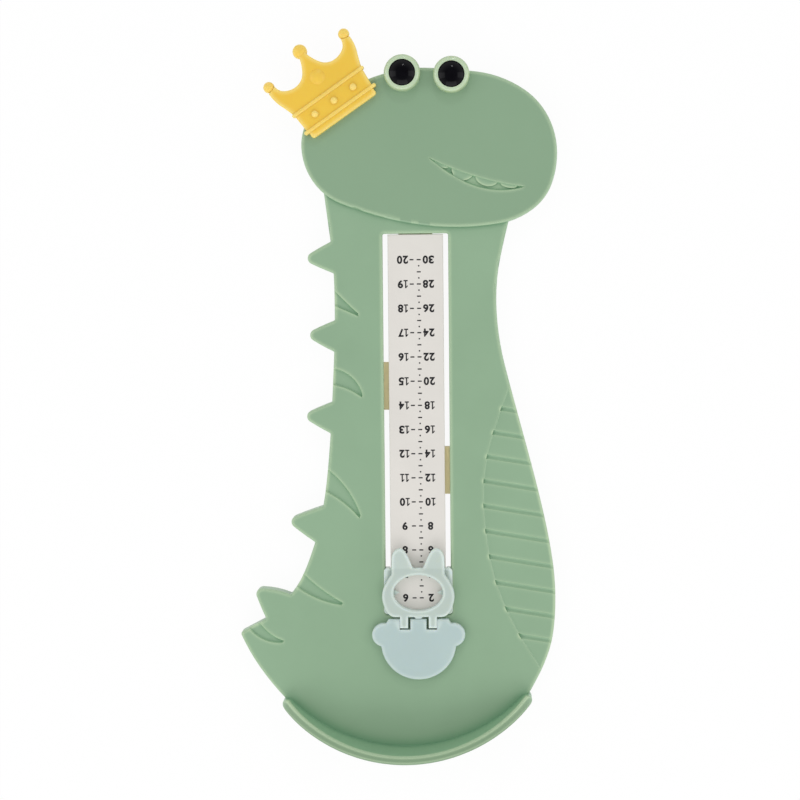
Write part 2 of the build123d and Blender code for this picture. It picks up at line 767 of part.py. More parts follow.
# ---------------------------------------------------------------- reading frame
def face_outline():
    """The rabbit's face with two ears, its lower edge straight for the hinge."""
    half = face_width / 2
    y = pointer_y
    side = flow([
        (jaw_width / 2, y - face_bottom, 0),
        (half - jaw_inset, y - jaw_drop, 72),
        (half, y - cheek_drop, 90),
        (ear_outer_x, y + ear_outer_rise, 127),
    ])
    ear = flow([
        (ear_outer_x, y + ear_outer_rise, 88),
        (ear_side_x, y + ear_rise - ear_side_drop, 91),
        (ear_tip_x, y + ear_rise, 180),
        (ear_tip_x - ear_slope_shift, y + ear_rise - ear_slope_drop, 240),
        (ear_inner_x, y + face_shoulder + ear_inner_rise, 246),
        (0, y + face_shoulder, 180),
    ])
    bottom = Line((0, y - face_bottom), side[0] @ 0)
    half_face = region([bottom, *side, *ear, Line(ear[-1] @ 1, (0, y - face_bottom))])
    return half_face + mirror(half_face, Plane.YZ)


def hinge_arm(side):
    """A flexible arm with a square end, and a stub pin on its outer face."""
    outer = arm_inner_x + arm_width
    middle = side * (arm_inner_x + outer) / 2
    arm = block(middle - arm_width / 2, middle + arm_width / 2, hinge_y - arm_overhang,
                pointer_y - face_bottom + frame_round, frame_under, frame_top)
    arm = fillet(arm.edges().filter_by(Axis.X).group_by(Axis.Y)[0], frame_round)
    pin = Rot(0, 90, 0) * Cylinder(pin_radius, pin_length)
    return arm + Pos(side * (outer + pin_length / 2), hinge_y, hinge_z) * pin


def snap_leg(side, y_low):
    """A leg that goes down beside the strip and hooks under the slot's edge."""
    outer = slot_edge - slide_clearance
    inner = outer - leg_thickness
    section = Polyline([
        (inner, plate_height), (inner, hook_under), (outer, hook_under),
        (outer + hook_reach, hook_top - hook_height / 2), (outer + hook_reach, hook_top), (outer, hook_top),
        (outer, plate_height), (inner, plate_height),
    ])
    leg = extrude(Plane.XZ * make_face(section), leg_length, dir=(0, 1, 0))
    leg = Pos(0, y_low, 0) * leg
    return leg if side > 0 else mirror(leg, Plane.YZ)


def slider():
    y = pointer_y
    face = prism(face_outline(), frame_under, frame_top)
    face = fillet(edges_at(face, frame_top), frame_round)
    under_ears = block(-face_width, face_width, y + carriage_above, y + ear_rise + 5,
                       0, frame_top - ear_thickness)
    face -= under_ears

    half = slot_edge - slide_clearance
    length = carriage_above + carriage_below
    middle = Pos(0, y + (carriage_above - carriage_below) / 2)
    tub = middle * RectangleRounded(2 * half, length, carriage_corner)
    flange_plan = middle * RectangleRounded(2 * (slot_edge + carriage_flange), length, carriage_corner)
    carriage_top = plate_height + carriage_proud
    flange = prism(flange_plan, frame_under, carriage_top)
    flange = fillet(edges_at(flange, carriage_top), (carriage_top - frame_under) / 2)
    frame = face + flange + prism(tub, strip_top + strip_clearance, frame_under)

    window = Pos(0, y + window_rise) * Ellipse(window_length / 2, window_height / 2)
    frame -= prism(window, 0, far)
    frame = chamfer(edges_at(frame, frame_top).filter_by(GeomType.BSPLINE), window_bevel)
    for side in (-1, 1):
        root = side * (window_length / 2 + pointer_root)
        tip = side * (window_length / 2 - pointer_length)
        low, high = (root, y - pointer_base / 2), (root, y + pointer_base / 2)
        pointer = make_face(Polyline([low, (tip, y), high, low]))
        level = strip_top + strip_clearance
        frame += prism(pointer, level, level + pointer_thickness)

    for side in (-1, 1):
        frame += snap_leg(side, y - carriage_below)
        frame += snap_leg(side, y + carriage_above - leg_length)
        frame += hinge_arm(side)

    nub_top = nub_width / 2
    nub_low = nub_width / 2 - nub_height
    edge = y - face_bottom
    nub = make_face(Polyline([
        (-nub_top, edge + nub_height), (nub_top, edge + nub_height), (nub_top, edge),
        (nub_low, edge - nub_height), (-nub_low, edge - nub_height), (-nub_top, edge),
        (-nub_top, edge + nub_height),
    ]))
    return frame + prism(nub, frame_under + nub_height, frame_top - nub_height)


# ---------------------------------------------------------------- toe flap
def toe_flap():
    """A bear's head with round ears, cut away round the arms and rounded along the hinge line."""
    face_y, ear_y = pointer_y - flap_centre_drop, pointer_y - flap_ear_drop
    edge_y = hinge_y + hinge_radius
    plan = Pos(0, face_y) * Circle(flap_radius)
    for side in (-1, 1):
        plan += Pos(side * flap_ear_x, ear_y) * Circle(flap_ear_radius)
    for corner in plan.vertices():
        plan = fillet(nearest(plan, corner.X, corner.Y), root_round)
    plan -= Pos(0, edge_y + far / 2) * Rectangle(far, far)
    flap = prism(plan, frame_under, frame_top)
    flap = fillet(edges_at(flap, frame_top) + edges_at(flap, frame_under), flap_round)
    barrel = Pos(0, hinge_y, hinge_z) * Rot(0, 90, 0) * Cylinder(hinge_radius, far)
    flap &= barrel + block(-far, far, -far, hinge_y, 0, far)

    inner = arm_inner_x - arm_flex_gap
    outer = arm_inner_x + arm_width + arm_side_gap
    for side in (-1, 1):
        x0, x1 = sorted((side * inner, side * outer))
        flap -= block(x0, x1, hinge_y - arm_overhang - arm_notch_gap, edge_y + 1, 0, far)
        bore = Cylinder(pin_radius + pin_clearance, pin_length + 2 * arm_side_gap)
        centre = side * (outer + pin_length / 2)
        flap -= Pos(centre, hinge_y, hinge_z) * Rot(0, 90, 0) * bore
    return flap


# ---------------------------------------------------------------- crown
def crown_outline():
    """Half of the crown to the right of its middle, mirrored: outer edge, side tip, valley and middle tip."""
    lip, band, shoulder = crown_lip_width / 2, crown_band_width / 2, crown_shoulder_width / 2
    neck_y = crown_middle_tip_y - crown_middle_tip_radius / 2
    right = flow([
        (shoulder, crown_rib_high, 74),
        (crown_tip_x + crown_tip_neck_out, crown_tip_y - crown_tip_radius, 92),
    ])
    valley = flow([
        (crown_tip_x - crown_tip_neck_in, crown_tip_y - crown_tip_radius / 2, -92),
        (crown_valley_x, crown_valley_y, 180),
        (crown_middle_neck, neck_y, 102),
    ])
    half = region([
        *Polyline([(0, neck_y), (0, 0), (lip, 0), (lip, crown_rib_low), (band, crown_rib_low),
                   (shoulder, crown_rib_high)]).edges(),
        *right,
        Line(right[-1] @ 1, valley[0] @ 0),
        *valley,
        Line(valley[-1] @ 1, (0, neck_y)),
    ])
    plan = half + mirror(half, Plane.YZ)
    for side in (-1, 1):
        plan = fillet(nearest(plan, side * lip, 0), crown_lip_round)
    return plan


def crown():
    """Built along its own base line, then turned and laid on the head's upper left edge."""
    proud = crown_thickness + crown_rib_proud
    body = extrude(crown_outline(), crown_thickness)
    body = fillet(edges_at(body, crown_thickness), crown_round)
    for y in (crown_rib_low, crown_rib_high):
        raised = extrude(Pos(0, y) * SlotOverall(crown_rib_width, crown_rib_size), proud)
        body += fillet(edges_at(raised, proud), crown_rib_proud)
    tips = [
        (-crown_tip_x, crown_tip_y, crown_tip_radius),
        (0, crown_middle_tip_y, crown_middle_tip_radius),
        (crown_tip_x, crown_tip_y, crown_tip_radius),
    ]
    for x, y, radius in tips:
        body += (Pos(x, y, proud - radius) * Sphere(radius)) & post(x, y, radius, 0, far)
    band_y = (crown_rib_low + crown_rib_high) / 2
    sunk = crown_thickness - crown_sink
    for k in (-1, 0, 1):
        bead = Pos(k * crown_bead_pitch, band_y, crown_thickness) * Sphere(crown_bead_radius)
        body += bead & post(k * crown_bead_pitch, band_y, crown_bead_radius, sunk, far)
    jewel_radius = (crown_jewel_radius ** 2 + crown_jewel_proud ** 2) / (2 * crown_jewel_proud)
    jewel = Pos(0, crown_jewel_y, crown_thickness + crown_jewel_proud - jewel_radius) * Sphere(jewel_radius)
    body += jewel & post(0, crown_jewel_y, far, sunk, far)
    for side in (-1, 1):
        body += post(side * crown_peg_x, crown_peg_y, crown_peg_radius, -crown_peg_length, crown_sink)
    return Pos(crown_x, crown_y, head_top) * Rot(0, 0, crown_angle) * body


# ---------------------------------------------------------------- eyes
def eye_ring(x, y):
    """A round cup with a bowl for the pupil and a peg below."""
    outer, height = eye_ring_radius, eye_ring_height
    cup = post(0, 0, outer, 0, height)
    cup = fillet(edges_at(cup, height), eye_ring_round)
    cup -= post(0, 0, pupil_radius + pupil_fit, eye_floor, far)
    cup += post(0, 0, eye_peg_radius, -eye_peg_length, eye_floor / 2)
    return Pos(x, y, head_top) * cup


def eye_pupil(x, y):
    """A domed button that fills the bowl."""
    dome_radius = (pupil_radius ** 2 + pupil_dome ** 2) / (2 * pupil_dome)
    top = pupil_wall_height + pupil_dome
    button = post(0, 0, pupil_radius, 0, top) & (Pos(0, 0, top - dome_radius) * Sphere(dome_radius))
    return Pos(x, y, head_top + eye_floor) * button


# ---------------------------------------------------------------- all the pieces
pieces = {
    "body_plate": body_plate(),
    "scale_strip": scale_strip(),
    "slider": slider(),
    "toe_flap": toe_flap(),
    "crown": crown(),
}
for name, place in zip(("left", "right"), eye_places):
    pieces["eye_ring_" + name] = eye_ring(*place)
    pieces["eye_pupil_" + name] = eye_pupil(*place)
for number, place in enumerate(strip_screw_places(), start=1):
    pieces["strip_screw_" + str(number)] = strip_screw(*place)

os.makedirs("parts", exist_ok=True)
for name, piece in pieces.items():
    export_step(piece, "parts/" + name + ".step")
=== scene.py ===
import math

import bmesh
import bpy
from mathutils import Euler, Matrix, Vector


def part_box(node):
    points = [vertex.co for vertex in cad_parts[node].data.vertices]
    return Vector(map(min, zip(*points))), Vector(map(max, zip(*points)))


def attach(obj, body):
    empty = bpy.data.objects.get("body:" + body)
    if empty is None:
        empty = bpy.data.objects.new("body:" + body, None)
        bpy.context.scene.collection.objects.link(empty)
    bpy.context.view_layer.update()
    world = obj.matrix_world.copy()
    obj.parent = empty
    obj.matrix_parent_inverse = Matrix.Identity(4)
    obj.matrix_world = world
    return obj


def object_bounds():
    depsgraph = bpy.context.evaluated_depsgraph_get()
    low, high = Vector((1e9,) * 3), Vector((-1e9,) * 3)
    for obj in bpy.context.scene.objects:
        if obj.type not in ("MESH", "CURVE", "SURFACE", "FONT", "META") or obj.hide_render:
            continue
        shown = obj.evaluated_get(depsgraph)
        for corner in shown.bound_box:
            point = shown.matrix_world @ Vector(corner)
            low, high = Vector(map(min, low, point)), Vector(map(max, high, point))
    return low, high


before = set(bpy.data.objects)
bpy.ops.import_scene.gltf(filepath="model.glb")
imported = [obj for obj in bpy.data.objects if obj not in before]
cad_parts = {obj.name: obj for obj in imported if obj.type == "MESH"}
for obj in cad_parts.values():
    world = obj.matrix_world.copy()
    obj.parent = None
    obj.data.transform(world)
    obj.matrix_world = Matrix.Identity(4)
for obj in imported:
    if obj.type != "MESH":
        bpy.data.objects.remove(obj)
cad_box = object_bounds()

MM = 0.001
ACROSS = (1.0, 0.0, 0.0)
FAR = (0.0, 1.0, 0.0)                     # from the heel towards the head
UP = (0.0, 0.0, 1.0)

# ---------------------------------------------------------------- the picture
CAMERA_PLACE = Vector((22.2, 188.5, 829.7)) * MM
CAMERA_TURN = (-3.229, 1.991, -0.552)     # degrees about X, Y and Z
CAMERA_LENS, CAMERA_SENSOR = 90.0, 36.0   # in millimetres
FLOOR_SIZE = 6.0
FLOOR_WHITE = 0.93
FLOOR_ROUGHNESS, FLOOR_SPECULAR = 0.9, 0.1
FLOOR_LIFT = 0.94                         # share of plain white that the eye and reflections see in the floor
AMBIENT_SIDE, AMBIENT_TOP = 0.60, 0.82    # strength of the studio's own light
SEEN_SIDE, SEEN_TOP = 1.0, 0.08           # how bright reflections find the walls and the ceiling
CEILING = (0.3, 0.8)                      # sines of the elevations between which walls turn into ceiling
LAMP_AIM = (0.0, 0.14, 0.0)
LAMPS = (                                 # name, place, width and height in metres, power in watts
    ("near_softbox", (0.0, -1.3, 0.85), 2.0, 1.0, 9.0),
    ("left_softbox", (-1.35, 0.2, 0.75), 0.8, 1.2, 3.6),
    ("right_softbox", (1.35, 0.2, 0.75), 0.8, 1.2, 3.6),
    ("far_lamp", (0.1, 1.3, 0.8), 0.14, 0.05, 1.2),
)

# ---------------------------------------------------------------- the printed scale, in millimetres
CM = 10.0
FIRST_CM, LAST_CM = 6, 20
FIRST_SIZE, SIZE_STEP = 2, 2
LEFT_LABEL_X, RIGHT_LABEL_X = -5.3, 5.3
LEFT_DASH_X = -1.6
COLUMN_X = 1.35                           # centre ticks
DASH_LENGTH, DASH_WIDTH = 1.65, 0.52
DOT_RADIUS, DOT_SIDES = 0.33, 14
DIGIT_WIDTH, DIGIT_HEIGHT = 2.2, 3.35
DIGIT_SPACE = 0.22
ONE_WIDTH = 1.7                           # over the foot of the figure 1
ONE_STROKE = 0.5
ONE_FLAG = 0.75                           # drop of the flag of the figure 1
BOLD = 0.04                               # widening of the figures' strokes, as a share of the type size
TYPE_RESOLUTION = 6                       # segments of each curve of the built-in type
INK_LIFT, INK_THICKNESS = 0.01, 0.02

# ---------------------------------------------------------------- zones of painted light and shade
# A zone is a tuple of conditions. A condition is an output of a node, a direction, the two borders along
# it, and the blur of the borders.
RAISED_LEVEL = 8.5 * MM                   # the head and the heel cup stand above the rest of the plate
HEAD_START = 150 * MM
CUP_END = 25 * MM
CUP_FADE = 8 * MM
BORDER = 0.2 * MM
SCREW_ZONE = 2.3 * MM                     # half the width of the zone over a screw, where the skin is thin
NO_BORDER = 2.0                           # past every place in metres and every part of a unit normal
FACING = ("ShaderNodeNewGeometry", "Normal")
PLACE = ("ShaderNodeTexCoord", "Object")
VIEW = ("ShaderNodeTexCoord", "Generated")    # in the world, the direction that is looked in
RAISED = (*PLACE, UP, RAISED_LEVEL, NO_BORDER, BORDER)
FACES_UP = (*FACING, UP, 0.6, NO_BORDER, 0.2)
UPRIGHT = (*FACING, UP, -0.6, 0.6, 0.2)
TILTS_UP = (*FACING, UP, 0.1, NO_BORDER, 0.1)
FACES_HEAD = (*FACING, FAR, 0.15, NO_BORDER, 0.1)
FACES_HEEL = (*FACING, FAR, -NO_BORDER, -0.15, 0.1)
NEAR_HEEL = (*PLACE, FAR, -NO_BORDER, CUP_END, CUP_FADE)
NEAR_HEAD = (*PLACE, FAR, HEAD_START, NO_BORDER, BORDER)
# painted shade: the head's top faces are darker, standing in for the light falling off towards the far end
HEAD_SHADE_ZONE = (RAISED, FACES_UP, NEAR_HEAD)
# painted shading: the heel cup's inner wall, where it faces the head, takes a tone of its own for how light
# falls on it
WALL_SHADING_ZONE = (NEAR_HEEL, UPRIGHT, FACES_HEAD)
# painted shade: the heel cup's rim is darker, standing in for the shade around the heel cup
RIM_SHADE_ZONE = (NEAR_HEEL, RAISED, FACES_UP)
# painted shade: the rim's outer lip keeps the rim's dark tone over its painted edge highlight
OUTER_LIP_SHADE_ZONE = (NEAR_HEEL, RAISED, TILTS_UP, FACES_HEEL)

# ---------------------------------------------------------------- colours, linear
BODY_GREEN = (0.278, 0.429, 0.277)
# painted highlight: the paler tone of the body's outer edges
HIGHLIGHT_GREEN = (0.47, 0.62, 0.40)
# painted shade: the deeper tone of the body's inner corners
SHADE_GREEN = (0.08, 0.29, 0.14)
# painted shade: the darker tone of the head's top faces
HEAD_SHADE_GREEN = (0.245, 0.380, 0.243)
# painted shading: the tone of the heel cup's inner wall
WALL_SHADING_GREEN = (0.283, 0.479, 0.299)
# painted shade: the darker tone of the heel cup's rim
RIM_SHADE_GREEN = (0.215, 0.330, 0.200)
STRIP_IVORY = (0.735, 0.708, 0.665)
# painted shade: the tan that the strip takes below its top face, for its ivory in shadow
STRIP_SHADE_TAN = (0.97, 0.84, 0.51)
MINT = (0.50, 0.59, 0.54)
# painted highlight: the paler tone of the slider's and the flap's outer edges
HIGHLIGHT_MINT = (0.70, 0.80, 0.76)
# painted shade: the deeper tone of the inner corners of the slider, the flap and the eye rings
SHADE_MINT = (0.36, 0.45, 0.40)
FLAP_MINT = (0.46, 0.58, 0.57)
RING_MINT = (0.37, 0.49, 0.27)
# painted highlight: the paler tone of the eye rings' outer edges
HIGHLIGHT_RING = (0.62, 0.76, 0.56)
CROWN_YELLOW = (0.86, 0.565, 0.056)
# painted highlight: the paler tone of the crown's outer edges
HIGHLIGHT_YELLOW = (0.97, 0.80, 0.30)
# painted shade: the deeper tone of the crown's inner corners
SHADE_YELLOW = (0.55, 0.32, 0.03)
PUPIL_BLACK = (0.003, 0.0028, 0.004)
INK_BLACK = (0.014, 0.014, 0.016)
SCREW_ZINC = (0.55, 0.56, 0.57)
WHITE = (1.0, 1.0, 1.0)

# ---------------------------------------------------------------- finishes
NOISE_REACH = (0.3, 0.7)                  # nearly all of a noise lies between these
NOISE_DETAIL, GRAIN_DETAIL = 4.0, 2.0     # octaves
NOISE_ROUGHNESS = 0.55
OPENNESS_SAMPLES = 8
ROUNDING_SAMPLES = 6
# Scale of the noise behind the cloudy colour, the uneven gloss and the grain
MOULD_CLOUDS, MOULD_PATCHES, MOULD_GRAIN = 28.0, 160.0, 2200.0
STRIP_CLOUDS, STRIP_PATCHES, STRIP_GRAIN = 60.0, 220.0, 3000.0
MOULD_GRAIN_DEPTH, STRIP_GRAIN_DEPTH = 0.01 * MM, 0.006 * MM
MOULD_MOTTLE, IVORY_MOTTLE, SHADE_TAN_MOTTLE = 0.035, 0.02, 0.05     # how far the clouds go from the colour
MOULD_UNEVENNESS = 0.04                   # how far the roughness goes from its middle
STRIP_ROUGHNESS = (0.42, 0.52)
SHADE_FULL_DEPTH, SHADE_START_DEPTH = 0.35 * MM, 0.25 * MM   # depths below the strip's top, with ivory above and the tan of painted shade below
EDGE_END = 0.97                           # openness at which the painted highlight of an outer edge ends
CORNER_FADE = (0.35, 0.95)                # openness between which the painted shade of an inner corner fades
COAT_ROUGHNESS = 0.18
SOFT_RADIUS = (0.0025, 0.002, 0.0012)     # how far red, green and blue light get in the plastic, in metres


# ---------------------------------------------------------------- shader nodes
def new_material(name):
    material = bpy.data.materials.new(name)
    material.use_nodes = True
    tree = material.node_tree
    return material, tree, tree.nodes["Principled BSDF"]


def feed(tree, node, inputs):
    """Sets a node's inputs, each to the output of another node, a colour of three numbers, or a number."""
    for name, value in inputs.items():
        socket = node.inputs[name]
        if isinstance(value, bpy.types.NodeSocket):
            tree.links.new(value, socket)
        elif isinstance(value, tuple):
            socket.default_value = (*value, 1.0)
        else:
            socket.default_value = value


def source(tree, kind, output):
    """An output of a node that needs no input."""
    return tree.nodes.new(kind).outputs[output]


def noise(tree, place, scale, detail=NOISE_DETAIL):
    node = tree.nodes.new("ShaderNodeTexNoise")
    feed(tree, node, {"Vector": place, "Scale": scale, "Detail": detail, "Roughness": NOISE_ROUGHNESS})
    return node.outputs["Fac"]


def map_range(tree, value, low, high, from_low=NOISE_REACH[0], from_high=NOISE_REACH[1]):
    """low where value is from_low or less, high where it is from_high or more, and a ramp in between."""
    node = tree.nodes.new("ShaderNodeMapRange")
    feed(tree, node, {
        "Value": value, "From Min": from_low, "From Max": from_high, "To Min": low, "To Max": high,
    })
    return node.outputs["Result"]


def calculate(tree, operation, a, b):
    """An arithmetic operation on two values, each the output of another node or a number."""
    node = tree.nodes.new("ShaderNodeMath")
    node.operation = operation
    feed(tree, node, {0: a, 1: b})
    return node.outputs["Value"]


def along(tree, vector, direction):
    """How far a vector reaches along a direction."""
    node = tree.nodes.new("ShaderNodeVectorMath")
    node.operation = "DOT_PRODUCT"
    node.inputs[1].default_value = direction
    feed(tree, node, {0: vector})
    return node.outputs["Value"]


def mix_colour(tree, factor, a, b):
    """Colour a where factor is 0, and b where it is 1."""
    node = tree.nodes.new("ShaderNodeMix")
    node.data_type = "RGBA"
    feed(tree, node, {"Factor": factor, "A": a, "B": b})
    return node.outputs["Result"]


def mix_shaders(tree, factor, a, b):
    """Shader a where factor is 0, and b where it is 1."""
    node = tree.nodes.new("ShaderNodeMixShader")
    feed(tree, node, {0: factor, 1: a, 2: b})
    return node.outputs["Shader"]


def openness(tree, distance, inside):
    """1 on open faces, less in inner corners, or under outer edges where inside is set."""
    node = tree.nodes.new("ShaderNodeAmbientOcclusion")
    node.samples = OPENNESS_SAMPLES
    node.inside = inside
    node.only_local = True
    feed(tree, node, {"Distance": distance})
    return node.outputs["AO"]


def inside_zone(tree, zone):
    """1 where every condition of the zone holds, 0 where one doesn't, with soft borders."""
    mask = None
    for kind, output, direction, low, high, blur in zone:
        reach = along(tree, source(tree, kind, output), direction)
        rise = map_range(tree, reach, 0.0, 1.0, low - blur, low + blur)
        fall = map_range(tree, reach, 1.0, 0.0, high - blur, high + blur)
        part = calculate(tree, "MULTIPLY", rise, fall)
        mask = part if mask is None else calculate(tree, "MULTIPLY", mask, part)
    return mask


def seen_directly(tree, share):
    """share for camera, glossy and transmission rays, and 0 for the light that bounces."""
    rays = tree.nodes.new("ShaderNodeLightPath").outputs
    seen = calculate(tree, "MAXIMUM", rays["Is Camera Ray"], rays["Is Glossy Ray"])
    seen = calculate(tree, "MAXIMUM", seen, rays["Is Transmission Ray"])
    return calculate(tree, "MULTIPLY", seen, share)


# ---------------------------------------------------------------- materials
def shade(colour, amount):
    return tuple(min(1.0, c * amount) for c in colour)


def clouds(tree, place, scale):
    """Soft patches between 0 and 1."""
    return map_range(tree, noise(tree, place, scale), 0.0, 1.0)


def mottled(tree, cloud, colour, spread):
    """The colour, a little darker where cloud is 0 and a little lighter where it is 1."""
    return mix_colour(tree, cloud, shade(colour, 1 - spread), shade(colour, 1 + spread))


def grained(tree, place, scale, depth, rounding=0.0):
    """The faces' direction under a fine grain, with edges that look rounded by the radius rounding."""
    bump = tree.nodes.new("ShaderNodeBump")
    feed(tree, bump, {"Distance": depth, "Height": noise(tree, place, scale, GRAIN_DETAIL)})
    if rounding:
        rounded = tree.nodes.new("ShaderNodeBevel")
        rounded.samples = ROUNDING_SAMPLES
        feed(tree, rounded, {"Radius": rounding})
        feed(tree, bump, {"Normal": rounded.outputs["Normal"]})
    return bump.outputs["Normal"]


def moulded_plastic(name, colour, highlight_tone, shade_tone, roughness, clear=0.0, soft=0.0, rounding=0.0,
                    edge_reach=1.6 * MM, edge_share=0.9, edge_start=0.74,
                    corner_reach=2.0 * MM, corner_share=0.7, zones=(), lips=(), even=()):
    """Injection-moulded plastic: faint cloudy colour, uneven gloss and the fine grain of the mould.

    Outer edges get a painted highlight in a paler tone, and inner corners a painted shade in a deeper tone.
    The two tones reach edge_reach and corner_reach metres far, and a share of each is mixed in. The
    highlight is strongest up to the openness edge_start. Each of zones has a tone of painted light or shade of
    its own, each of lips has one that covers the highlight on its edges too, and the zones in even get no
    painted highlight. clear is the weight of a clear coat, soft that of the light under the skin, and rounding
    the radius by which edges look rounded.
    """
    material, tree, shader = new_material(name)
    place = source(tree, *PLACE)
    base = mottled(tree, clouds(tree, place, MOULD_CLOUDS), colour, MOULD_MOTTLE)
    for zone, tone in zones:
        base = mix_colour(tree, inside_zone(tree, zone), base, tone)
    # painted highlight: outer edges are mixed towards the paler tone
    edges = map_range(tree, openness(tree, edge_reach, True), edge_share, 0.0, edge_start, EDGE_END)
    for zone in even:
        outside = map_range(tree, inside_zone(tree, zone), 1.0, 0.0, 0.0, 1.0)
        edges = calculate(tree, "MULTIPLY", edges, outside)
    lit = mix_colour(tree, edges, base, highlight_tone)
    for zone, tone in lips:
        lit = mix_colour(tree, inside_zone(tree, zone), lit, tone)
    # painted shade: inner corners are mixed towards the deeper tone
    corners = map_range(tree, openness(tree, corner_reach, False), corner_share, 0.0, *CORNER_FADE)
    patches = noise(tree, place, MOULD_PATCHES)
    feed(tree, shader, {
        "Base Color": mix_colour(tree, corners, lit, shade_tone),
        "Roughness": map_range(tree, patches, roughness - MOULD_UNEVENNESS, roughness + MOULD_UNEVENNESS),
        "Normal": grained(tree, place, MOULD_GRAIN, MOULD_GRAIN_DEPTH, rounding),
        "Coat Weight": clear,
        "Coat Roughness": COAT_ROUGHNESS,
    })
    if soft:
        feed(tree, shader, {"Subsurface Weight": soft, "Subsurface Scale": 1.0})
        shader.inputs["Subsurface Radius"].default_value = SOFT_RADIUS
    return material


def plain_finish(name, tones, cloud_scale, roughness, patch_scale, specular=0.5, metallic=0.0):
    """A colour that runs between two tones in clouds, and a roughness that has patches of its own."""
    material, tree, shader = new_material(name)
    place = source(tree, *PLACE)
    feed(tree, shader, {
        "Base Color": mix_colour(tree, clouds(tree, place, cloud_scale), *tones),
        "Roughness": map_range(tree, noise(tree, place, patch_scale), *roughness),
        "Specular IOR Level": specular,
        "Metallic": metallic,
    })
    return material


def strip_material(top_level):
    """An ivory bar with a matt top for the print, and tan below its top face: painted shade that stands for the
    ivory in the shadow of the slot.
    """
    material, tree, shader = new_material("scale_strip_plastic")
    place = source(tree, *PLACE)
    # painted shade: tan below the top face, ivory on it
    ivory_share = map_range(tree, along(tree, place, UP), 0.0, 1.0, top_level - SHADE_FULL_DEPTH, top_level - SHADE_START_DEPTH)
    cloud = clouds(tree, place, STRIP_CLOUDS)
    tan = mottled(tree, cloud, STRIP_SHADE_TAN, SHADE_TAN_MOTTLE)
    ivory = mottled(tree, cloud, STRIP_IVORY, IVORY_MOTTLE)
    feed(tree, shader, {
        "Base Color": mix_colour(tree, ivory_share, tan, ivory),
        "Roughness": map_range(tree, noise(tree, place, STRIP_PATCHES), *STRIP_ROUGHNESS),
        "Normal": grained(tree, place, STRIP_GRAIN, STRIP_GRAIN_DEPTH),
    })
    return material


def floor_material():
    """Matt white. The eye and reflections see part of it as plain white, and the rest keeps the shadow."""
    material, tree, shader = new_material("studio_floor")
    feed(tree, shader, {
        "Base Color": (FLOOR_WHITE, FLOOR_WHITE, FLOOR_WHITE),
        "Roughness": FLOOR_ROUGHNESS,
        "Specular IOR Level": FLOOR_SPECULAR,
    })
    glow = tree.nodes.new("ShaderNodeEmission")
    feed(tree, glow, {"Color": WHITE, "Strength": 1.0})
    lift = seen_directly(tree, FLOOR_LIFT)
    surface = mix_shaders(tree, lift, shader.outputs["BSDF"], glow.outputs["Emission"])
    feed(tree, tree.nodes["Material Output"], {"Surface": surface})
    return material


# ---------------------------------------------------------------- objects
def add_object(name, data):
    item = bpy.data.objects.new(name, data)
    bpy.context.scene.collection.objects.link(item)
    return item


def paint(node, material):
    """Gives a CAD node its finish."""
    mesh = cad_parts[node].data
    mesh.materials.clear()
    mesh.materials.append(material)


# ---------------------------------------------------------------- the printed scale
def figure_one():
    """The figure 1 with a flag and a foot, in millimetres."""
    middle, half, top = ONE_WIDTH / 2, ONE_STROKE / 2, DIGIT_HEIGHT
    outline = [
        (0, 0), (ONE_WIDTH, 0), (ONE_WIDTH, ONE_STROKE), (middle + half, ONE_STROKE), (middle + half, top),
        (middle - half / 2, top), (0, top - ONE_FLAG), (0, top - ONE_FLAG - ONE_STROKE),
        (middle - half, top - ONE_FLAG), (middle - half, ONE_STROKE), (0, ONE_STROKE),
    ]
    mesh = bpy.data.meshes.new("glyph")
    mesh.from_pydata([(x, y, 0) for x, y in outline], [], [range(len(outline))])
    return mesh


def typed_figure(digit):
    """One figure of the built-in type as flat faces, in the type's own units."""
    curve = bpy.data.curves.new("glyph", "FONT")
    curve.body = digit
    curve.offset = BOLD
    curve.resolution_u = TYPE_RESOLUTION
    holder = add_object("glyph", curve)
    bpy.context.view_layer.update()
    mesh = bpy.data.meshes.new_from_object(holder.evaluated_get(bpy.context.evaluated_depsgraph_get()))
    bpy.data.objects.remove(holder)
    bpy.data.curves.remove(curve)
    return mesh


def add_flat(ink, mesh, matrix):
    """Puts a moved copy of a flat mesh into the ink."""
    moved = mesh.copy()
    moved.transform(matrix)
    ink.from_mesh(moved)
    bpy.data.meshes.remove(moved)


def write(ink, glyphs, number, x, y):
    """Prints a number upside down, centred on x, y in millimetres: it is read from the heel's end."""
    digits = str(number)
    widths = [ONE_WIDTH if digit == "1" else DIGIT_WIDTH for digit in digits]
    total = sum(widths) + DIGIT_SPACE * (len(digits) - 1)
    cursor = x + total / 2
    for digit, width in zip(digits, widths):
        mesh = glyphs[digit]
        low = Vector([min(v.co[k] for v in mesh.vertices) for k in range(3)])
        high = Vector([max(v.co[k] for v in mesh.vertices) for k in range(3)])
        middle = (low + high) / 2
        size = high - low
        fit = Matrix.Diagonal((width / size.x * MM, DIGIT_HEIGHT / size.y * MM, 1.0, 1.0))
        turn = Matrix.Rotation(math.pi, 4, "Z")
        place = Matrix.Translation(Vector((cursor - width / 2, y, 0)) * MM)
        add_flat(ink, mesh, place @ turn @ fit @ Matrix.Translation(-middle))
        cursor -= width + DIGIT_SPACE


def add_polygon(ink, points):
    ink.faces.new([ink.verts.new(Vector((x, y, 0)) * MM) for x, y in points])


def add_dash(ink, x, y):
    corners = [(-1, -1), (1, -1), (1, 1), (-1, 1)]
    add_polygon(ink, [(x + sx * DASH_LENGTH / 2, y + sy * DASH_WIDTH / 2) for sx, sy in corners])


def add_dot(ink, x, y):
    turns = [2 * math.pi * k / DOT_SIDES for k in range(DOT_SIDES)]
    add_polygon(ink, [(x + DOT_RADIUS * math.cos(a), y + DOT_RADIUS * math.sin(a)) for a in turns])


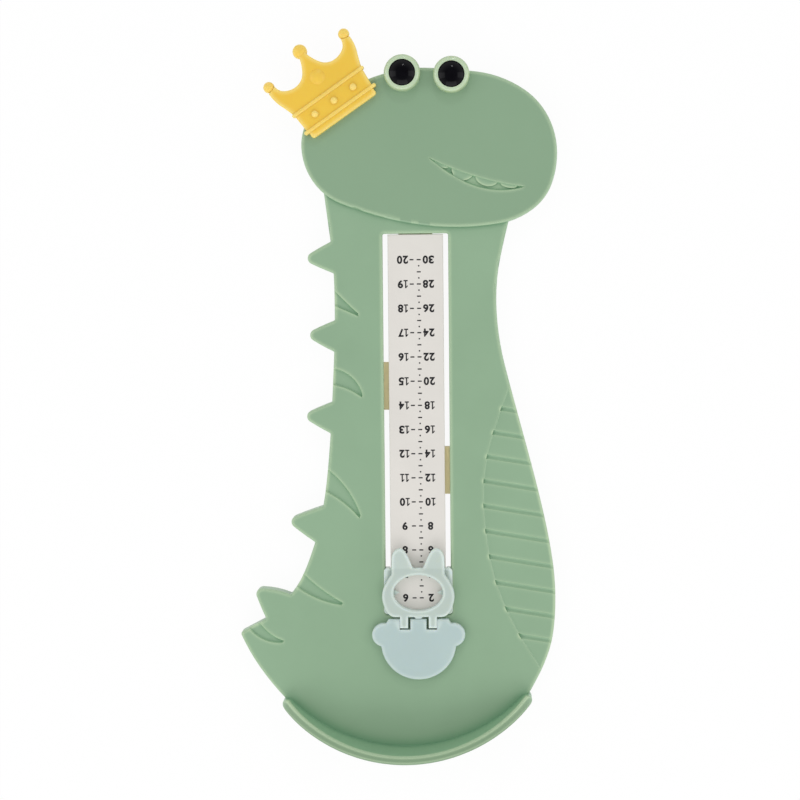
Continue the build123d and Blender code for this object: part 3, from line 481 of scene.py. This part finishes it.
def build_print(top_level):
    """All the figures, ticks and dots of the scale, as one thin closed layer on the strip."""
    glyphs = {digit: typed_figure(digit) for digit in "023456789"}
    glyphs["1"] = figure_one()
    ink = bmesh.new()
    for cm in range(FIRST_CM, LAST_CM + 1):
        y = cm * CM
        write(ink, glyphs, cm, LEFT_LABEL_X, y)
        write(ink, glyphs, FIRST_SIZE + (cm - FIRST_CM) * SIZE_STEP, RIGHT_LABEL_X, y)
        add_dash(ink, LEFT_DASH_X, y)
        add_dash(ink, COLUMN_X, y)
        if cm < LAST_CM:
            add_dot(ink, COLUMN_X, y + CM / 4)
            add_dash(ink, COLUMN_X, y + CM / 2)
            add_dot(ink, COLUMN_X, y + CM * 3 / 4)
    for mesh in glyphs.values():
        bpy.data.meshes.remove(mesh)

    for vertex in ink.verts:
        vertex.co.z = top_level + INK_LIFT * MM
    raised = bmesh.ops.extrude_face_region(ink, geom=ink.faces[:])
    lifted = [g for g in raised["geom"] if isinstance(g, bmesh.types.BMVert)]
    bmesh.ops.translate(ink, vec=(0, 0, INK_THICKNESS * MM), verts=lifted)
    bmesh.ops.recalc_face_normals(ink, faces=ink.faces[:])
    mesh = bpy.data.meshes.new("scale_print")
    ink.to_mesh(mesh)
    ink.free()
    mesh.materials.append(plain_finish(
        "print_ink", tones=(INK_BLACK, shade(INK_BLACK, 1.6)), cloud_scale=1500.0, roughness=(0.5, 0.65),
        patch_scale=1500.0, specular=0.25))
    piece = add_object("scale_print", mesh)
    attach(piece, "plate")


# ---------------------------------------------------------------- studio
def build_floor():
    mesh = bpy.data.meshes.new("studio_floor")
    half = FLOOR_SIZE / 2
    level = cad_box[0][2]
    corners = [(-half, -half, level), (half, -half, level), (half, half, level), (-half, half, level)]
    mesh.from_pydata(corners, [], [(0, 1, 2, 3)])
    mesh.materials.append(floor_material())
    floor = add_object("studio_floor", mesh)


def add_lamp(name, place, width, height, power):
    """A rectangular lamp that faces the middle of the object."""
    lamp = bpy.data.lights.new(name, "AREA")
    lamp.shape = "RECTANGLE"
    lamp.size = width
    lamp.size_y = height
    lamp.energy = power
    holder = add_object(name, lamp)
    holder.location = place
    holder.rotation_euler = (Vector(place) - Vector(LAMP_AIM)).to_track_quat("Z", "Y").to_euler()


def sky(tree, height, side, top):
    """White light that changes from one strength at the sides to another overhead."""
    background = tree.nodes.new("ShaderNodeBackground")
    feed(tree, background, {"Color": WHITE, "Strength": map_range(tree, height, side, top, *CEILING)})
    return background.outputs["Background"]


def build_lights():
    """Dim lamps low on all four sides, so that rounded edges catch more light than the flat faces."""
    for lamp in LAMPS:
        add_lamp(*lamp)

    world = bpy.data.worlds.new("studio")
    bpy.context.scene.world = world
    world.use_nodes = True
    tree = world.node_tree
    tree.nodes.clear()
    height = along(tree, source(tree, *VIEW), UP)
    ambient = sky(tree, height, AMBIENT_SIDE, AMBIENT_TOP)
    seen = sky(tree, height, SEEN_SIDE, SEEN_TOP)
    output = tree.nodes.new("ShaderNodeOutputWorld")
    feed(tree, output, {"Surface": mix_shaders(tree, seen_directly(tree, 1.0), ambient, seen)})


def build_camera():
    data = bpy.data.cameras.new("camera")
    data.lens = CAMERA_LENS
    data.sensor_width = CAMERA_SENSOR
    camera = add_object("camera", data)
    camera.location = CAMERA_PLACE
    camera.rotation_euler = Euler([math.radians(a) for a in CAMERA_TURN])
    bpy.context.scene.camera = camera


# ---------------------------------------------------------------- the scene
def over_screw(node):
    """The zone of the body's top face over one of the screws."""
    low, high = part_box(node)
    middle = (low + high) / 2
    return (
        (*PLACE, ACROSS, middle.x - SCREW_ZONE, middle.x + SCREW_ZONE, BORDER),
        (*PLACE, FAR, middle.y - SCREW_ZONE, middle.y + SCREW_ZONE, BORDER),
    )


strip_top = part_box("scale_strip")[1].z
screws = sorted(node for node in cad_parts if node.startswith("strip_screw_"))

# The body's zones paint shade on the head and the heel cup's rim and shading on the cup's inner wall; over the
# screws no edge highlight is painted.
paint("body_plate", moulded_plastic(
    "body_green", BODY_GREEN, HIGHLIGHT_GREEN, SHADE_GREEN, roughness=0.36, rounding=0.3 * MM,
    corner_reach=5.0 * MM, zones=((HEAD_SHADE_ZONE, HEAD_SHADE_GREEN), (WALL_SHADING_ZONE, WALL_SHADING_GREEN), (RIM_SHADE_ZONE, RIM_SHADE_GREEN)),
    lips=((OUTER_LIP_SHADE_ZONE, RIM_SHADE_GREEN),), even=[over_screw(node) for node in screws]))
paint("scale_strip", strip_material(strip_top))
paint("slider", moulded_plastic(
    "slider_mint", MINT, HIGHLIGHT_MINT, SHADE_MINT, roughness=0.34, clear=0.15, soft=0.15, edge_reach=1.45 * MM))
paint("toe_flap", moulded_plastic(
    "flap_mint", FLAP_MINT, HIGHLIGHT_MINT, SHADE_MINT, roughness=0.34, clear=0.15, soft=0.15,
    edge_reach=1.8 * MM, edge_share=0.45))
paint("crown", moulded_plastic(
    "crown_yellow", CROWN_YELLOW, HIGHLIGHT_YELLOW, SHADE_YELLOW, roughness=0.4, soft=0.2, rounding=0.3 * MM,
    edge_reach=2.2 * MM, edge_share=0.6, edge_start=0.6, corner_share=0.4))
ring_plastic = moulded_plastic(
    "ring_mint", RING_MINT, HIGHLIGHT_RING, SHADE_MINT, roughness=0.22, clear=0.3, soft=0.15, edge_share=0.65)
# Polished: only the lamps show in the pupils.
pupil_plastic = plain_finish(
    "pupil_black", tones=(PUPIL_BLACK, shade(PUPIL_BLACK, 1.5)), cloud_scale=300.0, roughness=(0.10, 0.16),
    patch_scale=900.0, specular=0.12)
for side in ("left", "right"):
    paint("eye_ring_" + side, ring_plastic)
    paint("eye_pupil_" + side, pupil_plastic)
zinc = plain_finish(
    "zinc_plate", tones=(shade(SCREW_ZINC, 0.85), SCREW_ZINC), cloud_scale=900.0, roughness=(0.22, 0.4),
    patch_scale=2500.0, metallic=1.0)
for node in screws:
    paint(node, zinc)

build_print(strip_top)
build_floor()
build_lights()
build_camera()

bpy.context.scene.view_settings.view_transform = "Standard"
